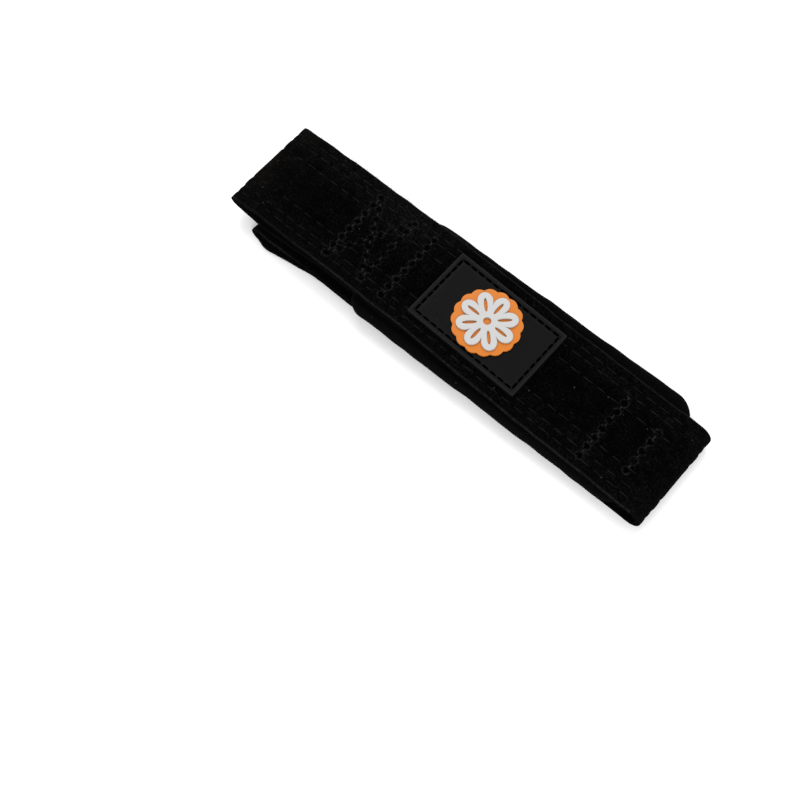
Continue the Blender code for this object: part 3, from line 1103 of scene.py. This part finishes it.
    def stitch_lines(self, start: Array, across: float, face: float, number: int) -> tuple[Array, Array]:
        """Lines of the stitches of one row: even along the strap, bowed up in the middle.

        Args:
            start: Arc lengths of their first ends.
            across: The row's place.
            face: 1 on the outer face, -1 on the inner.
            number: The row's number, which varies its wobble.

        Returns:
            Stitches by points by three, and each one's normal.
        """
        b = self.bundle
        share = np.linspace(0.0, 1.0, 6)
        margin = (self.stitch_pitch - self.stitch_length) / 2
        length = self.stitch_length * (1.0 + 0.10 * ripple(start, across, 0.013, 3.0 + number))
        arc = start[:, None] + margin + share[None, :] * length[:, None]
        bow = np.sin(math.pi * share)[None, :]
        wobble = 0.00014 * ripple(start, across, 0.009, 1.0 + number)[:, None]
        run = np.interp(arc, self.route.arc, self.route.run)
        sink = 0.00026 * ease((run - 0.178) / 0.007) + 0.00007 * bell(run, 0.022)
        off = face * (b.half_wall - self.row_depth * 0.75 + 0.00016 * bow - 0.00008 - sink)
        sunk = np.broadcast_to(across + wobble, arc.shape)
        lines = self.route.at(arc, sunk, np.broadcast_to(off, arc.shape), b)
        lines[..., 2] = np.maximum(lines[..., 2], self.thread + 0.00003)
        return lines, face * self.route.normals(arc[:, 2])

    def build_cross_stitching(self) -> bpy.types.Object:
        """The heavy rows: thick threads from hole to hole, bowed over the pile.

        Returns:
            The object.
        """
        b = self.bundle
        starts, ends, weights = [], [], []
        for row in self.cross_rows:
            first, last = row.stitches()
            starts.append(first)
            ends.append(last)
            weights.append(np.full(len(first), row.strength))
        first, last = np.concatenate(starts), np.concatenate(ends)
        share = np.linspace(0.30, 0.70, 7)
        place = first[:, None] + (last - first)[:, None] * share[None, :, None]
        jitter = 0.00022 * ripple(first[:, 0] * 7, first[:, 1] * 3, 0.011, 6.0)[:, None]
        bow = np.sin(math.pi * share)[None, :] * (0.00024 + 0.5 * jitter)
        arc = self.route.arc_on(Lay.TOP, place[..., 0])
        lines = self.route.at(arc, place[..., 1] + jitter, b.half_wall - 0.00042 + bow, b)
        up = self.route.normals(arc[:, 3])
        radii = 0.00024 * np.array([0.6, 0.85, 1.0, 1.0, 1.0, 0.85, 0.6])
        return tubes(lines, up, radii, 8, twist=3.0).to_object("cross_stitching")

    def build_pile(self, count: int = 2600) -> bpy.types.Object:
        """Loose pile: short bent hairs at the heavy rows, over the tousled part and along the cut edges.

        Args:
            count: How many hairs.

        Returns:
            The object.
        """
        b = self.bundle
        dice = np.random.default_rng(11)
        pick = dice.random(count)
        run, across = dice.uniform(0.0425, 0.073, count), dice.uniform(-0.016, 0.019, count)
        along_row = pick < 0.45
        rows = np.array([(*row.start, *row.end) for row in self.cross_rows])[dice.integers(0, len(self.cross_rows), count)]
        part = dice.random(count)
        run = np.where(along_row, blend(rows[:, 0], rows[:, 2], part) + dice.normal(0, 0.0011, count), run)
        across = np.where(along_row, blend(rows[:, 1], rows[:, 3], part) + dice.normal(0, 0.0011, count), across)
        on_edge = pick > 0.62
        run = np.where(on_edge, dice.uniform(0.004, 0.185, count), run)
        across = np.where(on_edge, np.sign(dice.random(count) - 0.5) * 0.0198, across)
        arc = self.route.arc_on(Lay.TOP, run)
        root = self.route.at(arc, across, np.full(count, b.half_wall - 0.0001), b)
        heading = dice.uniform(0, 2 * math.pi, count)
        length = dice.uniform(0.0004, 0.0013, count)
        flat = np.stack([np.cos(heading), np.sin(heading), dice.uniform(0.15, 0.7, count)], axis=1)
        curl = np.stack([-np.sin(heading), np.cos(heading), np.full(count, -0.35)], axis=1)
        share = np.linspace(0.0, 1.0, 4)[None, :, None]
        lines = root[:, None] + length[:, None, None] * (share * flat[:, None] + 0.5 * share**2 * curl[:, None])
        up = np.tile([0.0, 0.0, 1.0], (count, 1))
        return tubes(lines, up, 0.000035 * np.array([1.0, 0.9, 0.7, 0.3]), 3).to_object("loose_pile")


@dataclass
class FoamPad:
    """The foam wrist pad between the layers: a plate whose borders swell round."""

    bundle: Bundle
    half_width: float = 0.02385
    corner: float = 0.0090
    edge: float = 0.0030
    skew: float = math.radians(1.45)

    def build(self) -> bpy.types.Object:
        """Two heights over one plan that meet in the outline: thickness times a superellipse of the inset.

        Returns:
            The object.
        """
        b = self.bundle
        length = b.pad_end - b.pad_start
        crowd = self.edge * (1.0 - np.cos(np.linspace(0.0, math.pi / 2, 9)))
        ends = self.corner * (1.0 - np.cos(np.linspace(0.0, math.pi / 2, 22)))
        along = plate_lines(length, ends.tolist(), 0.0014)
        across = plate_lines(2.0, (crowd / self.half_width).tolist(), 0.055) - 1.0
        distance = np.minimum(along, length - along)
        half = round_ended(distance, self.half_width, self.corner)
        x = along[:, None] - length / 2 + 0 * across[None, :]
        y = half[:, None] * across[None, :]
        depth = np.clip(inset(x, y, length / 2, self.half_width, self.corner), 0.0, None)
        share = np.clip(depth / self.edge, 0.0, 1.0)
        swell = np.power(1.0 - np.power(1.0 - share, 2.3), 1 / 2.3)
        run = b.pad_start + along[:, None] + 0 * y
        low, high = b.pad_bottom(run), b.pad_top(run)
        middle, reach = (low + high) / 2, (high - low) / 2
        proud = 0.00030 * bell(depth - 0.0019, 0.0014) + 0.00010 * ripple(run, y, 0.018, 2.0)
        world_x = run - b.length / 2
        world_y = y + (run - (b.pad_start + b.pad_end) / 2) * math.tan(self.skew)
        world_y = world_y + 0.00030 * ripple(run, 0 * y, 0.041, 5.0) * np.abs(across)[None, :] ** 3
        upper = np.stack([world_x, world_y, middle + (reach + proud) * swell], axis=-1)
        lower = np.stack([world_x, world_y, middle - (reach + 0.4 * proud) * swell], axis=-1)
        rows, columns = x.shape
        quads = grid_quads(rows, columns)
        points = np.concatenate([upper.reshape(-1, 3), lower.reshape(-1, 3)])
        faces = np.concatenate([quads[:, ::-1], quads + rows * columns])
        # Painted highlight mask: 1 at the outline, fading over 4.2 mm inwards.
        rim = np.tile((1.0 - ease(depth / 0.0042)).reshape(-1), 2)
        obj = Surface(points, faces, [], {"rim": rim}).to_object("foam_pad")
        return weld(obj)


def weld(obj: bpy.types.Object) -> bpy.types.Object:
    """Joins points that coincide and turns every face outwards.

    Args:
        obj: A mesh object.

    Returns:
        The same object.
    """
    bm = bmesh.new()
    bm.from_mesh(obj.data)
    bmesh.ops.remove_doubles(bm, verts=bm.verts, dist=1e-6)
    bmesh.ops.dissolve_degenerate(bm, edges=bm.edges, dist=1e-7)
    bmesh.ops.recalc_face_normals(bm, faces=bm.faces)
    bm.to_mesh(obj.data)
    bm.free()
    obj.data.update()
    return obj


@dataclass
class RubberPatch:
    """The moulded patch: plate with rim and sewn groove, its stitches, and the rosette on it."""

    bundle: Bundle
    length: float = 0.0480
    width: float = 0.0300
    thick: float = 0.0018
    centre: float = 0.1074
    shift: float = 0.0005
    rim: float = 0.0015
    groove: float = 0.0011
    groove_depth: float = 0.0004
    rim_height: float = 0.0002
    corner: float = 0.0005
    shoulder: float = 0.00030
    stitch_pitch: float = 0.0033
    stitch_length: float = 0.0025

    def section(self, depth: Array) -> Array:
        """Thickness at an inset: round shoulder, flat rim, a cosine groove, then the lower field.

        Args:
            depth: Distances in from the outline.

        Returns:
            Heights above the back.
        """
        share = np.clip(depth / self.shoulder, 0.0, 1.0)
        shoulder = self.shoulder * (np.sqrt(1.0 - np.square(1.0 - share)) - 1.0)
        middle = self.rim + self.groove / 2
        away = np.clip(np.abs(depth - middle) / (self.groove / 2), 0.0, 1.0)
        dip = self.groove_depth * (0.5 + 0.5 * np.cos(math.pi * away)) ** 0.6
        return self.thick + shoulder - dip - self.rim_height * ease((depth - middle) / (self.groove / 2))

    def lift(self, run: Array, height: Array) -> Array:
        """Height above the floor of a height above the patch's back."""
        return self.bundle.top_face(run) + self.bundle.gap + height

    def build_plate(self) -> bpy.types.Object:
        """The plate: the section over its inset, with walls down to a flat back.

        Returns:
            The object.
        """
        s = self.shoulder
        turn = s * (1.0 - np.cos(np.linspace(0.0, math.pi / 2, 5)))
        across_groove = np.linspace(self.rim, self.rim + self.groove, 9)
        edge = np.unique(np.concatenate([turn, [self.corner, 0.0009, 0.0014], across_groove, [0.0037]]))
        xs, ys = plate_lines(self.length, edge.tolist(), 0.0016), plate_lines(self.width, edge.tolist(), 0.0016)
        x, y = np.meshgrid(xs - self.length / 2, ys - self.width / 2, indexing="ij")
        pull = self.corner - self.corner * math.sqrt(0.5)
        near = np.minimum(ease(1 - (self.length / 2 - np.abs(x)) / self.corner), ease(1 - (self.width / 2 - np.abs(y)) / self.corner))
        x, y = x - np.sign(x) * pull * near, y - np.sign(y) * pull * near
        depth = np.maximum(inset(x, y, self.length / 2, self.width / 2, self.corner), 0.0)
        run = self.centre + x
        top = np.stack([run - self.bundle.length / 2, self.bundle.shift + self.shift + y, self.lift(run, self.section(depth))], axis=-1)
        back = top.copy()
        back[..., 2] = self.lift(run, 0.0 * x)
        rows, columns = x.shape
        quads = grid_quads(rows, columns)
        number = np.arange(rows * columns).reshape(rows, columns)
        loop = np.concatenate([number[0, :-1], number[:-1, -1], number[-1, :0:-1], number[:0:-1, 0]])
        onward = np.roll(loop, -1)
        walls = np.stack([loop, onward, onward + rows * columns, loop + rows * columns], axis=1)
        points = np.concatenate([top.reshape(-1, 3), back.reshape(-1, 3)])
        faces = np.concatenate([quads, quads[:, ::-1] + rows * columns, walls])
        # Painted highlight along the round shoulder and the groove's inner edge; the flat rim a little paler.
        on_rim = 0.75 * bell(depth - 0.0003, 0.0002) + 0.18 * (depth < self.rim) + 0.35 * bell(depth - self.rim - self.groove, 0.0002)
        edge_highlight = np.tile(np.clip(on_rim, 0.0, 1.0).reshape(-1), 2)
        obj = Surface(points, faces, [], {"edge_highlight": edge_highlight}).to_object("patch_plate", 35.0)
        return weld(obj)

    def build_stitching(self) -> bpy.types.Object:
        """Stitches once round the groove: short threads along its middle.

        Returns:
            The object.
        """
        middle = self.rim + self.groove / 2
        half = (self.length / 2 - middle, self.width / 2 - middle)
        lines = []
        for axis in (0, 1):
            other = 1 - axis
            count = round(2 * half[axis] / self.stitch_pitch)
            start = -half[axis] + (2 * half[axis] / count) * np.arange(count)
            margin = (2 * half[axis] / count - self.stitch_length) / 2
            along = start[:, None] + margin + np.linspace(0.0, 1.0, 6)[None, :] * self.stitch_length
            for side in (-1.0, 1.0):
                place = np.zeros((*along.shape, 2))
                place[..., axis] = along
                place[..., other] = side * half[other] + 0.00006 * ripple(start, side, 0.011, 2.0)[:, None]
                lines.append(place)
        place = np.concatenate(lines)
        bow = np.sin(np.linspace(0.0, math.pi, 6))[None, :]
        height = self.thick - self.groove_depth - 0.00006 + 0.00020 * bow
        run = self.centre + place[..., 0]
        x, y = run - self.bundle.length / 2, self.bundle.shift + self.shift + place[..., 1]
        points = np.stack([x, y, self.lift(run, height)], axis=-1)
        up = np.tile([0.0, 0.0, 1.0], (len(points), 1))
        radii = 0.00040 * np.array([0.6, 0.9, 1.0, 1.0, 0.9, 0.6])
        return tubes(points, up, radii, 8, twist=3.0).to_object("patch_stitching")


class RosetteLayer(Enum):
    """The rosette's two raised layers."""

    BASE = "rosette_base"
    PETALS = "rosette_petals"


@dataclass
class Rosette:
    """A scalloped disc with a layer of round petals, each with a slot, set flat on the patch."""

    patch: RubberPatch
    radius: float = 0.0128
    scallops: int = 16
    scallop_depth: float = 0.0007
    base_thick: float = 0.0008
    petal_radius: float = 0.0110
    valley_radius: float = 0.0062
    petals: int = 8
    petal_thick: float = 0.0009
    hub_hole: float = 0.0014
    slot: tuple[float, float, float] = (0.0036, 0.0088, 0.0006)
    bevel: float = 0.00016

    def outlines(self, layer: RosetteLayer) -> list[Array]:
        """Closed outlines: radius against angle for the first, ellipses for the holes in it.

        Args:
            layer: Which layer.

        Returns:
            Points by two for each outline.
        """
        angle = np.linspace(0.0, 2 * math.pi, 480, endpoint=False)
        unit = np.stack([np.cos(angle), np.sin(angle)], axis=1)
        if layer is RosetteLayer.BASE:
            scallop = np.abs(np.sin(self.scallops * angle / 2))
            return [unit * (self.radius - self.scallop_depth * (1.0 - scallop))[:, None]]
        petal = np.sqrt(np.abs(np.cos(self.petals * angle / 2)) + 0.004)
        outlines = [unit * blend(self.valley_radius, self.petal_radius, petal)[:, None]]
        outlines.append(unit[::12] * self.hub_hole)
        start, end, half = self.slot
        for number in range(self.petals):
            turn = 2 * math.pi * number / self.petals
            out = (start + end) / 2 + (end - start) / 2 * unit[::15, 0]
            side = half * unit[::15, 1]
            outlines.append(
                np.stack([out * math.cos(turn) - side * math.sin(turn), out * math.sin(turn) + side * math.cos(turn)], axis=1)
            )
        return outlines

    def build(self, layer: RosetteLayer) -> bpy.types.Object:
        """One layer: a filled flat curve with a wall and a small bevel, made a mesh and set on the patch.

        Args:
            layer: Which layer.

        Returns:
            The object.
        """
        p, b = self.patch, self.patch.bundle
        thick = self.base_thick if layer is RosetteLayer.BASE else self.petal_thick
        curve = bpy.data.curves.new(layer.value, "CURVE")
        curve.dimensions, curve.fill_mode = "2D", "BOTH"
        curve.extrude, curve.bevel_depth = thick / 2 - self.bevel, self.bevel
        curve.bevel_resolution, curve.offset = 2, -self.bevel
        for outline in self.outlines(layer):
            spline = curve.splines.new("POLY")
            spline.points.add(len(outline) - 1)
            flat = np.concatenate([outline, np.zeros((len(outline), 1)), np.ones((len(outline), 1))], axis=1)
            spline.points.foreach_set("co", flat.reshape(-1).astype(np.float32))
            spline.use_cyclic_u = True
        maker = bpy.data.objects.new("maker", curve)
        bpy.context.scene.collection.objects.link(maker)
        mesh = bpy.data.meshes.new_from_object(maker.evaluated_get(bpy.context.evaluated_depsgraph_get()))
        bpy.data.objects.remove(maker)
        bpy.data.curves.remove(curve)
        mesh.name = layer.value
        below = b.gap + p.thick - p.rim_height + (0.00004 if layer is RosetteLayer.BASE else 0.00008 + self.base_thick)
        ends = b.top_face(np.array([p.centre - self.radius, p.centre + self.radius]))
        slope = math.atan2(float(ends[1] - ends[0]), 2 * self.radius)
        middle = float(b.top_face(np.array(p.centre))) + below + thick / 2
        mesh.transform(Matrix.Translation((p.centre - b.length / 2, b.shift + p.shift, middle)) @ Matrix.Rotation(-slope, 4, "Y"))
        # No painted highlight on the rosette: the value is 0.
        layer_values = mesh.attributes.new("edge_highlight", "FLOAT", "POINT")
        heights = np.empty(len(mesh.vertices) * 3, dtype=np.float32)
        mesh.vertices.foreach_get("co", heights)
        layer_values.data.foreach_set("value", np.zeros(len(mesh.vertices), dtype=np.float32))
        obj = bpy.data.objects.new(layer.value, mesh)
        bpy.context.scene.collection.objects.link(obj)
        weld(obj)
        mesh.shade_smooth()
        mesh.set_sharp_from_angle(angle=math.radians(40))
        return obj


# ---------------------------------------------------------------- the studio


@dataclass(frozen=True)
class Studio:
    """White floor, soft light from all round, one broad light high behind, and the camera."""

    camera_place: tuple[float, float, float] = (0.1245, -0.1486, 0.3921)
    azimuth: float = math.radians(47.51)
    elevation: float = math.radians(67.30)
    roll: float = math.radians(-6.23)
    lens: float = 54.0

    def build_floor(self) -> bpy.types.Object:
        """A wide pale floor just below the strap."""
        size = 3.0
        points = np.array([[-size, -size, -0.0002], [size, -size, -0.0002], [size, size, -0.0002], [-size, size, -0.0002]])
        obj = Surface(points, np.array([[0, 1, 2, 3]])).to_object("floor")
        f = Finish("white_floor")
        f.surface(Base_Color=(0.92, 0.92, 0.92), Roughness=0.9, Specular_IOR_Level=0.0)
        f.surface(Emission_Color=(1.0, 1.0, 1.0), Emission_Strength=0.14)
        obj.data.materials.append(f.material)
        return obj

    def build_lights(self) -> None:
        """A white world and two area lights."""
        world = bpy.data.worlds.new("studio_air")
        world.use_nodes = True
        world.node_tree.nodes["Background"].inputs["Color"].default_value = (1.0, 1.0, 1.0, 1.0)
        world.node_tree.nodes["Background"].inputs["Strength"].default_value = 0.80
        bpy.context.scene.world = world
        self.area("broad_light", (-0.30, 0.42, 0.95), 0.70, 6.0)
        self.area("side_light", (0.55, -0.55, 0.75), 0.50, 4.0)

    @staticmethod
    def area(name: str, place: tuple[float, float, float], size: float, power: float) -> None:
        """Adds a square area light that points at the middle of the floor.

        Args:
            name: Its name.
            place: Where it hangs.
            size: Its side.
            power: Its watts.
        """
        data = bpy.data.lights.new(name, "AREA")
        data.size, data.energy = size, power
        light = bpy.data.objects.new(name, data)
        back = np.array(place) / np.linalg.norm(place)
        right = np.cross([0.0, 0.0, 1.0], back)
        right /= np.linalg.norm(right)
        light.matrix_world = basis(right, np.cross(back, right), back, place)
        bpy.context.scene.collection.objects.link(light)

    def build_camera(self) -> None:
        """The camera, turned by azimuth, elevation and a slight roll."""
        a, e, r = self.azimuth, self.elevation, self.roll
        back = np.array([math.sin(a) * math.cos(e), -math.cos(a) * math.cos(e), math.sin(e)])
        level = np.array([math.cos(a), math.sin(a), 0.0])
        rise = np.cross(back, level)
        right = level * math.cos(r) + rise * math.sin(r)
        data = bpy.data.cameras.new("camera")
        data.lens, data.sensor_width, data.clip_start = self.lens, 36.0, 0.01
        camera = bpy.data.objects.new("camera", data)
        camera.matrix_world = basis(right, np.cross(back, right), back, self.camera_place)
        bpy.context.scene.collection.objects.link(camera)
        bpy.context.scene.camera = camera

    def build(self) -> None:
        """Builds all of it, with plain colours."""
        self.build_floor()
        self.build_lights()
        self.build_camera()
        bpy.context.scene.view_settings.view_transform = "Standard"


def basis(right: Array, up: Array, back: Array, place: Iterable[float]) -> Matrix:
    """A matrix from three axes and a place.

    Args:
        right: X axis.
        up: Y axis.
        back: Z axis.
        place: Translation.

    Returns:
        The matrix.
    """
    whole = np.eye(4)
    whole[:3, 0], whole[:3, 1], whole[:3, 2], whole[:3, 3] = right, up, back, tuple(place)
    return Matrix(whole.tolist())


# ---------------------------------------------------------------- putting it together


def dress(piece: bpy.types.Object, material: bpy.types.Material, node: str | None = None) -> bpy.types.Object:
    """Gives a piece its material, its body and the node it stands for.

    Args:
        piece: The object.
        material: Its material.
        node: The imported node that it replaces, if any.

    Returns:
        The piece.
    """
    piece.data.materials.clear()
    piece.data.materials.append(material)
    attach(piece, "root")
    if node:
        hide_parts(node)
    log.info("%s: %d faces", piece.name, len(piece.data.polygons))
    return piece


def build_strap(bundle: Bundle) -> None:
    """Builds the suede strip with everything sewn into it."""
    strap = SuedeStrap(bundle)
    suede = SuedeFinish().build()
    fine = ThreadFinish("fine_thread", (0.0140, 0.0140, 0.0146), 0.6, 0.04).build()
    heavy = ThreadFinish("heavy_thread", (0.0170, 0.0170, 0.0175), 0.40, 0.16).build()
    hair = ThreadFinish("pile_hair", (0.0180, 0.0175, 0.0175), 0.9, 0.0).build()
    strip = dress(strap.build_strip(), suede, "suede_strap")
    edge = dress(strap.build_edge_stitching(), fine)
    cross = dress(strap.build_cross_stitching(), heavy)
    pile = dress(strap.build_pile(), hair)
    flat = (2 * bundle.half_width, float(strap.route.arc[-1]))
    log.info("strip is %.1f mm long when flat", 1000 * flat[1])


def build_patch(bundle: Bundle) -> None:
    """Builds the patch, its stitches and the rosette."""
    patch = RubberPatch(bundle)
    black = RubberFinish("black_rubber", (0.0013, 0.0013, 0.0014), (0.0110, 0.0110, 0.0113), 0.52, 0.064, 0.45)
    orange = RubberFinish("orange_rubber", (0.54, 0.156, 0.013), (0.57, 0.185, 0.025), 0.48, 0.26, 0.12)
    white = RubberFinish("white_rubber", (0.46, 0.46, 0.455), (0.50, 0.50, 0.50), 0.48, 0.26, 0.05)
    sewing = ThreadFinish("patch_thread", (0.0003, 0.0003, 0.0003), 0.9, 0.0).build()
    dress(patch.build_plate(), black.build(), "rubber_patch")
    dress(patch.build_stitching(), sewing)
    rosette = Rosette(patch)
    dress(rosette.build(RosetteLayer.BASE), orange.build(), "rosette_ground")
    dress(rosette.build(RosetteLayer.PETALS), white.build(), "rosette_relief")


def main() -> None:
    """Builds the studio and every piece."""
    logging.basicConfig(level=logging.INFO, format="%(name)s %(message)s")
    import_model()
    bundle = Bundle()
    Studio().build()
    pad = dress(FoamPad(bundle).build(), FoamFinish().build(), "wrist_pad")
    build_strap(bundle)
    build_patch(bundle)


if __name__ == "__main__":
    main()
